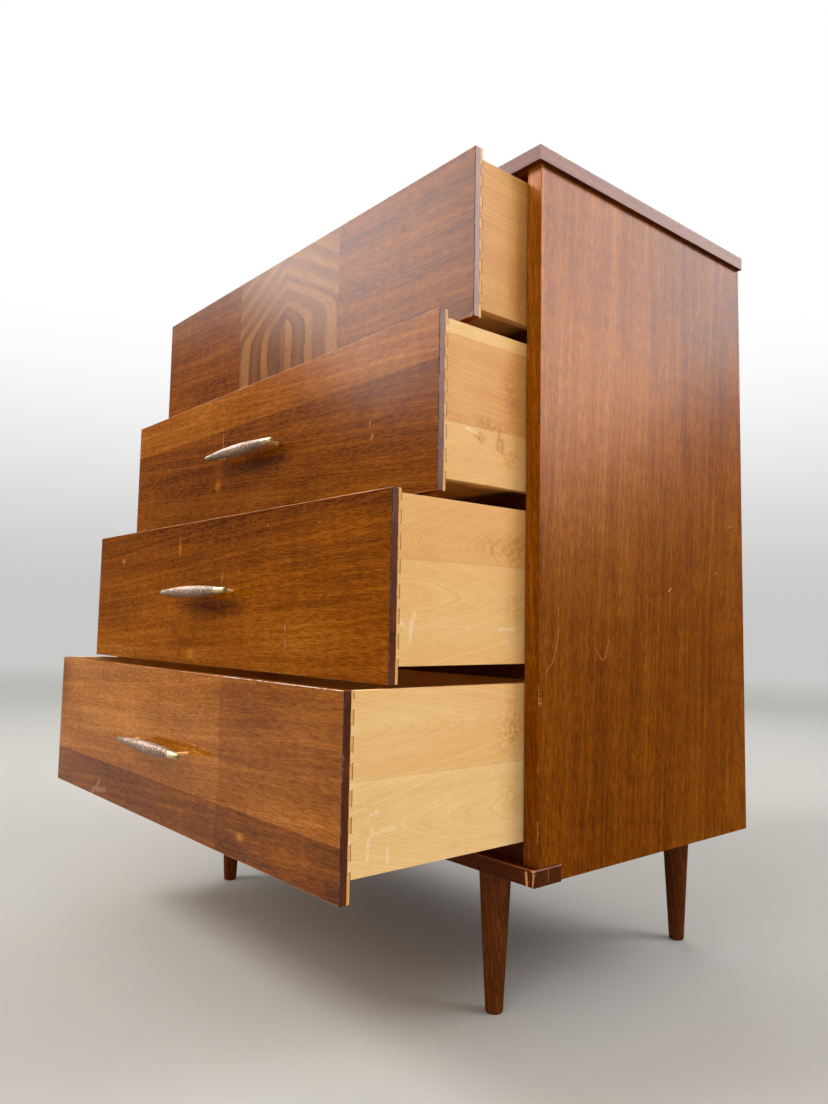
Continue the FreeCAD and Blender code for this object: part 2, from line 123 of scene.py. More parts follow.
class Finish:
    """A finish that is mixed node by node, on the piece's own coordinates."""

    def __init__(self, name, holder=None):
        self.holder = holder or bpy.data.materials.new(name)
        self.holder.use_nodes = True
        self.nodes = self.holder.node_tree.nodes
        self.links = self.holder.node_tree.links
        if holder is None:
            self.surface = self.nodes["Principled BSDF"]
            self.place = self.add("TexCoord").outputs["Object"]

    def feed(self, socket, value):
        """Give a socket a fixed value, or the output of another node."""
        if isinstance(value, bpy.types.NodeSocket):
            self.links.new(value, socket)
        else:
            socket.default_value = value

    def add(self, kind, inputs=(), **settings):
        """A node with its settings, and its inputs by name or number."""
        node = self.nodes.new(f"ShaderNode{kind}")
        for name, value in settings.items():
            setattr(node, name, value)
        for key, value in dict(inputs).items():
            self.feed(node.inputs[key], value)
        return node

    def math(self, operation, first, second=0.0, third=0.0, use_clamp=False):
        inputs = {0: first, 1: second, 2: third}
        return self.add("Math", inputs, operation=operation, use_clamp=use_clamp).outputs[0]

    def times(self, first, second):
        return self.math("MULTIPLY", first, second)

    def less(self, first, second):
        return self.math("SUBTRACT", first, second)

    def scaled(self, value, factor, start):
        """A value times a factor, added to a start."""
        return self.math("MULTIPLY_ADD", value, factor, start)

    def vector(self, operation, *inputs):
        """The vector that an operation on vectors gives."""
        return self.add("VectorMath", dict(enumerate(inputs)), operation=operation).outputs["Vector"]

    def measure(self, operation, *inputs):
        """The number that an operation on vectors gives."""
        return self.add("VectorMath", dict(enumerate(inputs)), operation=operation).outputs["Value"]

    def step(self, value, low, high):
        """A smooth step from 0 at the low value to 1 at the high one."""
        inputs = {"Value": value, "From Min": low, "From Max": high}
        return self.add("MapRange", inputs, interpolation_type="SMOOTHSTEP").outputs[0]

    def within(self, value, low, high, soft):
        """1 between two values and 0 outside them, with soft ends."""
        rise = self.step(value, low - soft, low + soft)
        fall = self.step(value, high + soft, high - soft)
        return self.times(rise, fall)

    def vein(self, noise):
        """1 along the fine lines where a noise passes its middle, and 0 elsewhere."""
        return self.step(self.math("ABSOLUTE", self.less(noise, 0.5)), VEIN_WIDTH, 0)

    def blend(self, share, first, second, way="MIX"):
        """Two colours mixed."""
        return self.add("Mix", {0: share, 6: first, 7: second}, data_type="RGBA", blend_type=way).outputs[2]

    def tint(self, colour, tone, share, strength):
        """A colour with some of another tone over it."""
        return self.blend(self.times(share, strength), colour, tone)

    def choose(self, share, first, second):
        """Two vectors mixed."""
        return self.add("Mix", {0: share, 4: first, 5: second}, data_type="VECTOR").outputs[1]

    def ramp(self, value, stops):
        """A colour for each value, from stops that are pairs of a place and a colour."""
        node = self.add("ValToRGB", {"Fac": value})
        elements = node.color_ramp.elements
        while len(elements) < len(stops):
            elements.new(0.5)
        for element, (position, colour) in zip(elements, stops):
            element.position = position
            element.color = colour
        return node.outputs["Color"]

    def noise(self, along, across=None, detail=3, place=None, roughness=0.5):
        """Noise with some repeats to the metre along the grain and across it, turned so that no grid of it
        lies along the grain."""
        scale = (along, across or along, across or along)
        inputs = {"Vector": place or self.place, "Scale": scale, "Rotation": NOISE_TURN}
        return self.texture(self.add("Mapping", inputs).outputs[0], 1, detail, roughness)

    def texture(self, place, scale, detail, roughness=0.5):
        inputs = {"Vector": place, "Scale": scale, "Detail": detail, "Roughness": roughness}
        return self.add("TexNoise", inputs).outputs[0]

    def axes(self, place):
        """The X, Y and Z of a place."""
        return self.add("SeparateXYZ", {0: place}).outputs

    def point(self, first, second, third=0.0):
        return self.add("CombineXYZ", {0: first, 1: second, 2: third}).outputs[0]

    def patch(self, first, second, middle, half_size):
        """1 in the middle of an oval patch, fading to 0 at its rim. Places and sizes are in millimetres."""
        away = self.vector("SUBTRACT", self.point(first, second), (middle[0] * MM, middle[1] * MM, 0))
        spread = self.vector("MULTIPLY", away, (1 / (half_size[0] * MM), 1 / (half_size[1] * MM), 0))
        return self.step(self.measure("LENGTH", spread), 1, 0)

    def strokes(self, first, second, lines, width, broken=False):
        """How strongly marks show that run through points given in millimetres. Broken ones are rubbed away
        in places."""
        width *= MM
        spot = self.point(first, second)
        nearest = None
        for line in lines:
            for start, end in zip(line, line[1:]):
                start = Vector((*start, 0)) * MM
                run = Vector((*end, 0)) * MM - start
                from_start = self.vector("SUBTRACT", spot, start)
                gone = self.measure("DOT_PRODUCT", from_start, run / run.length_squared)
                share = self.math("ADD", gone, use_clamp=True)
                gap = self.measure("DISTANCE", spot, self.vector("MULTIPLY_ADD", run, share, start))
                nearest = gap if nearest is None else self.math("MINIMUM", nearest, gap)
        shaken = self.texture(spot, MARK_UNEVENNESS, 2)
        ragged = self.scaled(shaken, width, self.less(nearest, width / 2))
        if not broken:
            return self.step(ragged, width / 2, width / 4)
        rubbed = self.step(self.texture(spot, RUBBED_REPEATS, 4, RUBBED_ROUGHNESS), *RUBBED_EDGES)
        return self.times(self.step(ragged, width / 2, 0), rubbed)

    def shine(self, **values):
        """Fixed values on the shader's own sockets."""
        for name, value in values.items():
            self.feed(self.surface.inputs[name.replace("_", " ").title().replace("Ior", "IOR")], value)


def seen_directly(finish):
    """1 for the camera and for mirrored or transmitted rays, 0 for light that scatters."""
    path = finish.add("LightPath").outputs
    seen = finish.math("MAXIMUM", path["Is Camera Ray"], path["Is Glossy Ray"])
    return finish.math("MAXIMUM", seen, path["Is Transmission Ray"])


def backdrop():
    """A pale world behind a pale floor that fades into it, and the soft light that it gives."""
    world = bpy.data.worlds.new("studio")
    bpy.context.scene.world = world
    air = Finish("studio", world)
    height = air.axes(air.add("TexCoord").outputs["Generated"])[2]
    sky = air.blend(air.step(height, 0, SKY_RISE), HORIZON, SKY)
    sky_seen = air.add("Background", {"Color": sky, "Strength": 1})
    soft_light = air.add("Background", {"Color": SKY, "Strength": SOFT_LIGHT})
    mixed = air.add("MixShader", {0: seen_directly(air), 1: soft_light.outputs[0], 2: sky_seen.outputs[0]})
    air.links.new(mixed.outputs[0], air.nodes["World Output"].inputs[0])
    bm = bmesh.new()
    bmesh.ops.create_grid(bm, x_segments=1, y_segments=1, size=FLOOR_SIZE)
    mesh = bpy.data.meshes.new("floor")
    bm.to_mesh(mesh)
    bm.free()
    ground = Finish("floor_paint")
    ground.nodes.remove(ground.surface)
    painted = ground.add("BsdfDiffuse", {"Color": FLOOR})
    glow = ground.add("Emission", {"Color": HORIZON, "Strength": 1})
    away = ground.measure("LENGTH", ground.place)
    share = ground.times(ground.step(away, *FLOOR_FADE), seen_directly(ground))
    mixed = ground.add("MixShader", {0: share, 1: painted.outputs[0], 2: glow.outputs[0]})
    ground.links.new(mixed.outputs[0], ground.nodes["Material Output"].inputs[0])
    mesh.materials.append(ground.holder)
    floor = bpy.data.objects.new("floor", mesh)
    bpy.context.scene.collection.objects.link(floor)


CASE_MIDDLE = (0, 0, 0.7)
PANEL_MIDDLE = (0.457, 0.15, 0.8)
FRONTS_MIDDLE = (0, -0.2, 0.9)
# The soft boxes: where each stands, what it faces, its width, height and power, its roll in degrees, and
# where it is seen. One seen in mirrors adds gloss alone, and one seen on matt faces adds light alone.
LAMPS = {
    "key": ((1.2, -3.2, 2.6), CASE_MIDDLE, 2.2, 2.2, 30, 0, "everywhere"),
    "fill_behind": ((-2.4, 2.6, 2.2), CASE_MIDDLE, 2.4, 2.4, 30, 0, "everywhere"),
    "daylight_in_front": ((-1.9, -3.2, 3.9), CASE_MIDDLE, 1.6, 1.6, 130, 0, "on matt faces"),
    "daylight_at_side": ((3.2, 2.6, 3.6), CASE_MIDDLE, 2.4, 2.4, 105, 0, "on matt faces"),
    "sheen_on_side": ((3.243, 2.604, 4.149), PANEL_MIDDLE, 3.56, 6.0, 3850, 27.9, "in mirrors"),
    "sheen_on_front": ((-2.689, -2.661, 4.323), FRONTS_MIDDLE, 4.19, 4.01, 1400, 41.1, "in mirrors"),
    "sheen_on_left": ((-3.734, -1.313, 4.033), FRONTS_MIDDLE, 4.12, 3.67, 440, 19.7, "in mirrors"),
}


def lamps():
    for name, (place, aim, width, height, power, roll, seen) in LAMPS.items():
        data = bpy.data.lights.new(name, "AREA")
        data.shape = "RECTANGLE"
        data.size = width
        data.size_y = height
        data.energy = power
        item = bpy.data.objects.new(name, data)
        bpy.context.scene.collection.objects.link(item)
        turn = (Vector(aim) - Vector(place)).to_track_quat("-Z", "Y").to_matrix()
        turn = turn @ Matrix.Rotation(math.radians(roll), 3, "Z")
        item.matrix_world = Matrix.Translation(place) @ turn.to_4x4()
        item.visible_diffuse = seen != "in mirrors"
        item.visible_glossy = seen != "on matt faces"


# Wood

def grained(finish, along, across, shift=(0, 0, 0)):
    """A place in the log, turned so that its X runs along the grain and its Y across the face."""
    axes = {"x": Vector((1, 0, 0)), "y": Vector((0, 1, 0)), "z": Vector((0, 0, 1))}
    first, second = axes[along], axes[across]
    turn = Matrix((first, second, first.cross(second)))
    place = finish.vector("SUBTRACT", finish.place, shift)
    return finish.add("Mapping", {"Vector": place, "Rotation": turn.to_euler()}).outputs[0]


# The scale of each part of a wood's figure along and across the grain, in repeats to the metre
FIGURE_REPEATS = {
    "fleck": (70, 560), "fibre": (8, 800), "streak": (2.5, 60), "cloud": (3, 9), "mottle": (22, 34),
    "cross": (75, 9),
}
PORE_REPEATS = (90, 1500)
FLECK_EDGES = (0.44, 0.57)
PORE_EDGES = (0.55, 0.66)
RING_ROUGHNESS = 0.55
# Each kind of wood: its tones; how strongly its pores show; where the log's heart lies, how deep under the
# face, and its taper; the width of the growth rings and how often and how far they sway; and how strongly
# each part of its figure shows
WALNUT = {
    "tones": tones((0.05, "4e2000"), (0.4, "824200"), (0.62, "9a550c"), (0.95, "c0772c")),
    "pore": paint("381500"), "pores": 0.55,
    "heart": (0, 0, 40 * MM, 0.07), "ring_width": 9 * MM, "sway": (2.5, 9), "wander": 12 * MM,
    "figure": {"ring": 0.28, "line": -0.08, "fleck": 0.16, "fibre": 0.35, "streak": 0.4, "cloud": 0.35,
               "mottle": 0.2, "cross": 0.14},
}
MAPLE = {
    "tones": tones((0.05, "c4843f"), (0.4, "e4ab62"), (0.65, "f0bf7a"), (0.95, "fad69c")),
    "pore": paint("ad7840"), "pores": 0.1,
    "heart": (0, 0, 20 * MM, 0.12), "ring_width": 4.6 * MM, "sway": (7, 13), "wander": 7 * MM,
    "figure": {"ring": 0.16, "line": -0.11, "fleck": 0.03, "fibre": 0.16, "streak": 0.2, "cloud": 0.3,
               "mottle": 0.12, "cross": 0.1},
}
PLAIN_SAWN = {
    "tones": tones((0.05, "381506"), (0.4, "50240e"), (0.65, "62300f"), (0.95, "84491f")),
    "pore": paint("2c1408"), "pores": 0.3,
    "heart": (0, 0, 40 * MM, 0.06), "ring_width": 6 * MM, "sway": (2.5, 9), "wander": 8 * MM,
    "figure": {"ring": 0.4, "line": -0.1, "fleck": 0.15, "fibre": 0.4, "streak": 0.3, "cloud": 0.35,
               "mottle": 0.2, "cross": 0},
}


def growth(finish, along, across, heart):
    """How far out in the log a place lies: its distance from the heart, which runs along a line on the face
    at some depth, where the log tapers along that line."""
    middle, height, depth, taper = heart
    ahead = finish.less(along, middle)
    radius = finish.measure("LENGTH", finish.point(finish.less(across, height), depth))
    return finish.scaled(ahead, taper, radius)


def wood(finish, place, kind, shade=0.0, radius=None):
    """Growth rings cut through by the face, with flecks, fibres, pores and clouds of tone, and with a
    change of tone by shade. Gives the colour and the height."""
    along, across, _ = finish.axes(place)
    radius = radius or growth(finish, along, across, kind["heart"])
    swayed = finish.scaled(finish.noise(*kind["sway"], place=place), 2 * kind["wander"], radius)
    rings = {"W": finish.math("DIVIDE", swayed, kind["ring_width"]), "Scale": 1, "Detail": 3,
             "Roughness": RING_ROUGHNESS}
    ring = finish.add("TexNoise", rings, noise_dimensions="1D").outputs[0]
    parts = {"ring": ring, "line": finish.vein(ring)}
    for name, repeats in FIGURE_REPEATS.items():
        if kind["figure"][name]:
            parts[name] = finish.noise(*repeats, detail=2, place=place)
    parts["fleck"] = finish.step(parts["fleck"], *FLECK_EDGES)
    tone = finish.math("ADD", shade, 0.5 - sum(kind["figure"].values()) / 2)
    for name, socket in parts.items():
        tone = finish.scaled(socket, kind["figure"][name], tone)
    pores = finish.step(finish.noise(*PORE_REPEATS, detail=2, place=place), *PORE_EDGES)
    colour = finish.tint(finish.ramp(tone, kind["tones"]), kind["pore"], pores, kind["pores"])
    height = finish.scaled(pores, -1, parts["fibre"])
    return colour, height


# How strongly and how roughly each lacquered part mirrors
LACQUER = {"lacquer": 0.1, "lacquer_roughness": 0.2}
PANEL_LACQUER = {"lacquer": 0.06, "lacquer_roughness": 0.29}
LIPPING_LACQUER = {"lacquer": 0.12, "lacquer_roughness": 0.3}
BAND_LACQUER = {"lacquer": 0.13, "lacquer_roughness": 0.2}
TOP_LACQUER = {"lacquer": 0.015, "lacquer_roughness": 0.35}
END_LACQUER = {"lacquer": 0.075, "lacquer_roughness": 0.29}
FULL_LACQUER = {"lacquer": 0.45, "lacquer_roughness": 0.12}
STAIN_LACQUER = {1: 0.11, 2: 0.08, 3: 0.05, 4: 0.02}
STAIN_ROUGHNESS = 0.3
BARE_GLOSS = 0.02
BUMP_DEPTH = 0.3 * MM


def surfaced(finish, colour, height, roughness=0.5, relief=0.25, lacquer=0.0, lacquer_roughness=0.2):
    """Put the colour and the height of a wood under its surface finish."""
    bump = finish.add("Bump", {"Strength": relief, "Distance": BUMP_DEPTH, "Height": height})
    finish.shine(base_color=colour, roughness=roughness, normal=bump.outputs[0], coat_weight=lacquer,
                 coat_roughness=lacquer_roughness, specular_ior_level=0 if lacquer else BARE_GLOSS)
    return finish.holder


def wooden(name, kind, along, across, shift=(0, 0, 0), shade=0.0, **surface):
    """A plain wood finish with its grain along one axis, cut from another part of the log for each shift."""
    finish = Finish(name)
    return surfaced(finish, *wood(finish, grained(finish, along, across, shift), kind, shade), **surface)


# Marks: their width in millimetres, their tone and their strength
SCRATCH = (1.3, paint("c08a50"), 0.75)
NICK = (2.2, paint("d2a878"), 0.85)
KNOCK = (1.1, paint("c08a50"), 0.6)
PALE_MARK = (1.6, paint("d0a684"), 0.6)
OPEN_JOINT = (1.2, WALNUT["pore"], 0.6)
RUBBED_STAIN = (15, paint("b98a66"), 0.6)
MAPLE_SCUFF = (8, paint("fbe9d2"), 0.65)


def marked(finish, colour, first, second, lines, look, broken=False):
    """Draw marks of one look into a colour."""
    width, tone, strength = look
    return finish.tint(colour, tone, finish.strokes(first, second, lines, width, broken), strength)


# Boards

def copy_of(node):
    """A copy of a node's mesh with its triangles joined into whole faces."""
    bm = bmesh.new()
    bm.from_mesh(frame["nodes"][node].data)
    bmesh.ops.remove_doubles(bm, verts=bm.verts, dist=WELD)
    bmesh.ops.dissolve_limit(bm, angle_limit=FLAT_ANGLE, verts=bm.verts, edges=bm.edges)
    return bm


def plane_of(name, box):
    """The axis and the place of an outer plane of a box, from a name such as x+ or z-."""
    axis = "xyz".index(name[0])
    return axis, box[1 if name[1] == "+" else 0][axis]


def lies_on(edge, axis, value):
    return all(abs(vert.co[axis] - value) < WELD for vert in edge.verts)


ALL_SIDES = ("x-", "x+", "y-", "y+", "z-", "z+")


def arrises(bm, box, open_sides=ALL_SIDES):
    """The outer edges of a board between two of its open sides."""
    planes = [plane_of(name, box) for name in open_sides]
    return [edge for edge in bm.edges if sum(lies_on(edge, *plane) for plane in planes) >= 2]


def rounded(bm, edges, rounding=ARRIS, steps=ROUNDING_STEPS):
    """Round some edges over, and give the new faces."""
    made = bmesh.ops.bevel(bm, geom=edges, offset=rounding, offset_type="OFFSET", affect="EDGES",
                           segments=steps, profile=0.5, material=-1, clamp_overlap=True)
    return made["faces"]


def shaded(mesh):
    """Shade each corner of a face by the faces around it that lie within the smooth angle, the larger ones
    the more, so that flat faces stay flat beside their rounded edges."""
    mesh.shade_smooth()
    faces_at = {}
    for face in mesh.polygons:
        for vertex in face.vertices:
            faces_at.setdefault(vertex, []).append(face)
    normals = []
    for face in mesh.polygons:
        for vertex in face.vertices:
            near = [other for other in faces_at[vertex] if face.normal.dot(other.normal) > SMOOTH_SHARE]
            normals.append(sum((other.normal * other.area for other in near), Vector()).normalized())
    mesh.normals_split_custom_set(normals)


def finished(bm, node, finishes):
    """Make a mesh into a piece that stands for its node and goes with its body."""
    mesh = bpy.data.meshes.new(f"{node}_dressed")
    bm.to_mesh(mesh)
    bm.free()
    shaded(mesh)
    for finish in finishes:
        mesh.materials.append(finish)
    piece = bpy.data.objects.new(f"{node}_dressed", mesh)
    bpy.context.scene.collection.objects.link(piece)
    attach(piece, BODY_OF[node])
    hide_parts(node)


def board(node, *finishes, open_sides=ALL_SIDES, rounding=ARRIS, end_axis=None):
    """A board with the edges between its open sides rounded over. Faces square on to the end axis get
    the second finish."""
    bm = copy_of(node)
    rounded(bm, arrises(bm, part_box(node), open_sides), rounding)
    if end_axis:
        for face in bm.faces:
            face.material_index = int(abs(face.normal["xyz".index(end_axis)]) > SQUARE_ON)
    finished(bm, node, finishes)


def coated(node, finish):
    """Give a node whose shape is right its finish."""
    materials = frame["nodes"][node].data.materials
    materials.clear()
    materials.append(finish)


def turned(stations, sides):
    """A turned solid, extruded ring by ring up the Z axis through pairs of a height and a radius."""
    bm = bmesh.new()
    height, radius = stations[0]
    made = bmesh.ops.create_circle(bm, cap_ends=True, segments=sides, radius=radius,
                                   matrix=Matrix.Translation((0, 0, height)))
    face = made["verts"][0].link_faces[0]
    for next_height, next_radius in stations[1:]:
        grown = bmesh.ops.extrude_face_region(bm, geom=[face])["geom"]
        face = next(item for item in grown if isinstance(item, bmesh.types.BMFace))
        ring = face.verts[:]
        bmesh.ops.translate(bm, verts=ring, vec=(0, 0, next_height - height))
        share = next_radius / radius
        bmesh.ops.scale(bm, verts=ring, vec=(share, share, 1))
        height, radius = next_height, next_radius
    bmesh.ops.remove_doubles(bm, verts=bm.verts, dist=WELD)
    bmesh.ops.recalc_face_normals(bm, faces=bm.faces)
    return bm


def rounded_end(start, radius, rounding, steps):
    """The stations of a turned solid's end, rounded over in some steps as far as its full radius."""
    turns = [index / steps * math.pi / 2 for index in range(steps + 1)]
    return [(start + rounding * (1 - math.cos(turn)), radius - rounding * (1 - math.sin(turn)))
            for turn in turns]


# Case

# Marks on the right side panel and its lipping: each a line through points in millimetres, from the case's
# front edge or from the lipping's inner one, and from the ground
PANEL_SCRATCHES = (
    ((36.6, 492.3), (35.9, 481), (31.6, 464.2), (24.6, 449.2), (11.9, 436.5)),
    ((111.2, 467.1), (116.8, 457.8), (123.3, 450.7), (130.5, 454.1), (133, 464.5), (139.5, 478.1)),
    ((36.3, 505), (36.2, 517)),
)
PANEL_NICKS = (((277, 547), (284, 551)), ((446, 653), (448, 656)), ((403, 578), (405.5, 580)))
LIPPING_KNOCKS = (((22.4, 236), (22.4, 262)), ((21.8, 318), (22, 326)), ((22.6, 398), (22.4, 423)))
# How light the panels' veneer is: its tone low down, its rise over one span of heights and its fall over a
# higher one, and how much of the rise is lost towards the back. The rise and fall are painted light: a
# lighter band high up on the front of the panel, where more light and sheen fall.
PANEL_SHADE = -0.13
PANEL_LIGHT_RISE = 0.3
REAR_LIGHT_LOSS = 0.22
PANEL_LIGHT_FALL = 0.3
RISE_SPAN = (430 * MM, 800 * MM)
FALL_SPAN = (720 * MM, 1020 * MM)
LOSS_SPAN = (60 * MM, 420 * MM)
# The lippings' tone low down, its rise, and the span of heights of the rise. The rise is painted sheen: the
# lippings grow lighter towards the top.
LIPPING_SHADE = -0.19
LIPPING_SHEEN_RISE = 0.32
LIPPING_SPAN = (250 * MM, 1000 * MM)
# Where in the log a side's veneer and lipping are cut: across their faces, the other way on the left, and up
PANEL_CUT = (0.37, 0.2)
LIPPING_CUT = (0.21, 0.6)


def side_veneer(end):
    """Veneer with an upright grain, with scratches and nicks on the right side."""
    finish = Finish(f"side_veneer_{end}")
    place = grained(finish, "z", "y", (0, ENDS[end] * PANEL_CUT[0], PANEL_CUT[1]))
    _, from_middle, up = finish.axes(finish.place)
    back = finish.less(from_middle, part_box("side_lipping_right")[0].y)
    # Painted light: the veneer is lightened in a band high up on the panel, less towards the back
    rise = finish.scaled(finish.step(back, *LOSS_SPAN), -REAR_LIGHT_LOSS, PANEL_LIGHT_RISE)
    shade = finish.scaled(finish.step(up, *RISE_SPAN), rise, PANEL_SHADE)
    shade = finish.scaled(finish.step(up, *FALL_SPAN), -PANEL_LIGHT_FALL, shade)
    colour, height = wood(finish, place, WALNUT, shade)
    if end == "right":
        colour = marked(finish, colour, back, up, PANEL_SCRATCHES, SCRATCH)
        colour = marked(finish, colour, back, up, PANEL_NICKS, NICK)
    return surfaced(finish, colour, height, **PANEL_LACQUER)


def lipping_wood(end, name, sheen):
    """Solid wood with an upright grain and knocks along its outer edge."""
    finish = Finish(f"lipping_{name}_{end}")
    across, _, up = finish.axes(finish.place)
    place = grained(finish, "z", "x", (ENDS[end] * LIPPING_CUT[0], 0, LIPPING_CUT[1]))
    # Painted sheen: the lipping is lighter towards its top
    shade = finish.scaled(finish.step(up, *LIPPING_SPAN), LIPPING_SHEEN_RISE, LIPPING_SHADE)
    colour, height = wood(finish, place, WALNUT, shade)
    outward = finish.less(finish.math("ABSOLUTE", across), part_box("side_lipping_right")[0].x)
    if end == "right":
        colour = marked(finish, colour, outward, up, LIPPING_KNOCKS, KNOCK)
    return surfaced(finish, colour, height, **sheen)


# The raw wood that shows where the base rail's right corner is chipped: across and up, in millimetres.
# The second chip narrows along the corner itself. A thin crack runs up the rail's end.
RAIL_CHIPS = (((448.9, 202.5), (449.2, 196), (449.9, 189)),)
CORNER_CHIPS = (((460.2, 205), (460, 198), (459.2, 189)), ((457.8, 206.5), (460.6, 206.8)))
RAIL_CRACK = (((25.2, 190.5), (25, 205.5)),)
CHIP_WIDTH = 5
CORNER_CHIP_WIDTH = 3
CRACK_WIDTH = 0.8
CRACK_STRENGTH = 0.6
RAW_WOOD = paint("cf9159")
WORN_STAIN_AND_HIGHLIGHT = paint("8f5f50")
WORN_EDGE_AND_HIGHLIGHT = paint("96501f")
END_EDGE_WEAR_AND_HIGHLIGHT_STRENGTH = 0.85
RAIL_SHADE = -0.14
# Where the rail's wear and chips end and where they show in full: below its top, behind its front, in from
# its right end and across. The pale top edges are partly wear and partly a painted highlight.
TOP_WEAR_AND_HIGHLIGHT = (1.9 * MM, 0.9 * MM)
FRONT_WEAR_AND_HIGHLIGHT = (2.2 * MM, 1.2 * MM)
END_EDGE_WEAR_AND_HIGHLIGHT = (2.4 * MM, 1.4 * MM)
WEAR_AND_HIGHLIGHT_REACH = (300 * MM, 460 * MM)
FRONT_FACE = (4 * MM, 2 * MM)
END_FACE = (1 * MM, 0.3 * MM)


def rail_wood():
    """Dark stained wood, chipped at the right corner and pale along its top edges, partly as wear and partly
    as a painted highlight.
    """
    finish = Finish("rail_wood")
    low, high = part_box("base_rail")
    across, back, up = finish.axes(finish.place)
    colour, height = wood(finish, grained(finish, "x", "y"), PLAIN_SAWN, RAIL_SHADE)
    from_front = finish.less(back, low.y)
    from_end = finish.less(high.x, across)
    top_arris = finish.step(finish.less(high.z, up), *TOP_WEAR_AND_HIGHLIGHT)
    front_arris = finish.times(top_arris, finish.step(from_front, *FRONT_WEAR_AND_HIGHLIGHT))
    front_arris = finish.times(front_arris, finish.step(across, *WEAR_AND_HIGHLIGHT_REACH))
    end_arris = finish.times(top_arris, finish.step(from_end, *END_EDGE_WEAR_AND_HIGHLIGHT))
    # The pale top edges are partly wear and partly a painted highlight
    colour = finish.blend(front_arris, colour, WORN_EDGE_AND_HIGHLIGHT)
    colour = finish.tint(colour, WORN_STAIN_AND_HIGHLIGHT, end_arris, END_EDGE_WEAR_AND_HIGHLIGHT_STRENGTH)
    front = finish.step(from_front, *FRONT_FACE)
    chips = finish.times(finish.strokes(across, up, RAIL_CHIPS, CHIP_WIDTH), front)
    corner = finish.times(finish.strokes(across, up, CORNER_CHIPS, CORNER_CHIP_WIDTH), front)
    colour = finish.blend(finish.math("MAXIMUM", chips, corner), colour, RAW_WOOD)
    end = finish.step(from_end, *END_FACE)
    crack = finish.times(finish.strokes(from_front, up, RAIL_CRACK, CRACK_WIDTH), end)
    colour = finish.tint(colour, RAW_WOOD, crack, CRACK_STRENGTH)
    return surfaced(finish, colour, height, **LACQUER)


def case():
    bare = wooden("bare_core", MAPLE, "z", "x", shade=-0.5)
    top_face = wooden("top_veneer", WALNUT, "x", "y", shade=-0.1, **TOP_LACQUER)
    front_band = wooden("front_band", PLAIN_SAWN, "x", "z", shade=0.12, **BAND_LACQUER)
    end_band = wooden("end_band", PLAIN_SAWN, "y", "z", shade=-0.05, **END_LACQUER)
    for end, sign in ENDS.items():
        outer = "x+" if sign > 0 else "x-"
        board(f"side_panel_{end}", side_veneer(end), bare, open_sides=(outer, "y+", "z-"), end_axis="y")
        side = lipping_wood(end, "side", PANEL_LACQUER)
        front = lipping_wood(end, "front", LIPPING_LACQUER)
        board(f"side_lipping_{end}", side, front, open_sides=("x-", "x+", "y-"), end_axis="y")
        board(f"top_edge_{end}", end_band, open_sides=(outer, "y+", "z-", "z+"))
    board("top_panel", top_face, bare, open_sides=("y+", "z-", "z+"), end_axis="y")
    board("top_edge_front", front_band, open_sides=("y-", "z-", "z+"))
    board("base_rail", rail_wood(), rounding=RAIL_ARRIS)
    carcase = wooden("carcase_wood", PLAIN_SAWN, "x", "y", shade=-0.12)
    runner = wooden("runner_wood", PLAIN_SAWN, "y", "x")
    for node in frame["nodes"]:
        if node.startswith(("front_rail", "back_rail", "bottom_panel")):
            coated(node, carcase)
        elif node.startswith("runner"):
            coated(node, runner)
    coated("back_panel", hardboard())
    steel = plate_steel()
    coated("leg_plates", steel)
    coated("leg_fixings", steel)


BOARD_TONES = tones((0.3, "5e4026"), (0.7, "8a6440"))
PIN_TONE = paint("6d6a66")
FUZZ_REPEATS = 500
FUZZ_SHARE = 0.75
BLOT_REPEATS = 6
PIN_PITCH = 55 * MM
PIN_INSET = 7 * MM
PIN_RADIUS = 2 * MM
PIN_FLAT_RADIUS = 1.4 * MM
PIN_RISE = 0.5


def hardboard():
    """Pressed fibre board with a row of pins up each side."""
    finish = Finish("hardboard")
    across, _, up = finish.axes(finish.place)
    low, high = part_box("back_panel")
    fuzz = finish.noise(FUZZ_REPEATS, detail=4)
    blots = finish.noise(BLOT_REPEATS)
    tone = finish.scaled(blots, 1 - FUZZ_SHARE, finish.times(fuzz, FUZZ_SHARE))
    from_side = finish.less(high.x - PIN_INSET, finish.math("ABSOLUTE", across))
    upward = finish.math("PINGPONG", finish.less(up, low.z), PIN_PITCH)
    upward = finish.less(upward, PIN_PITCH / 2)
    gap = finish.measure("LENGTH", finish.point(from_side, upward))
    pins = finish.step(gap, PIN_RADIUS, PIN_FLAT_RADIUS)
    colour = finish.blend(pins, finish.ramp(tone, BOARD_TONES), PIN_TONE)
    height = finish.scaled(pins, PIN_RISE, fuzz)
    return surfaced(finish, colour, height, roughness=0.75, relief=0.3)


STEEL_TONES = tones((0.3, "6f6a62"), (0.7, "9c978c"))
METAL_REPEATS = 90


def plate_steel():
    finish = Finish("plate_steel")
    colour = finish.ramp(finish.noise(METAL_REPEATS), STEEL_TONES)
    finish.shine(base_color=colour, metallic=1.0, roughness=0.42)
    return finish.holder


LEG_SIDES = 64
FOOT_ROUNDING = 2.5 * MM
FOOT_STEPS = 4
LEG_TOP_RADIUS = 21.5 * MM
LEG_FOOT_RADIUS = 11.5 * MM


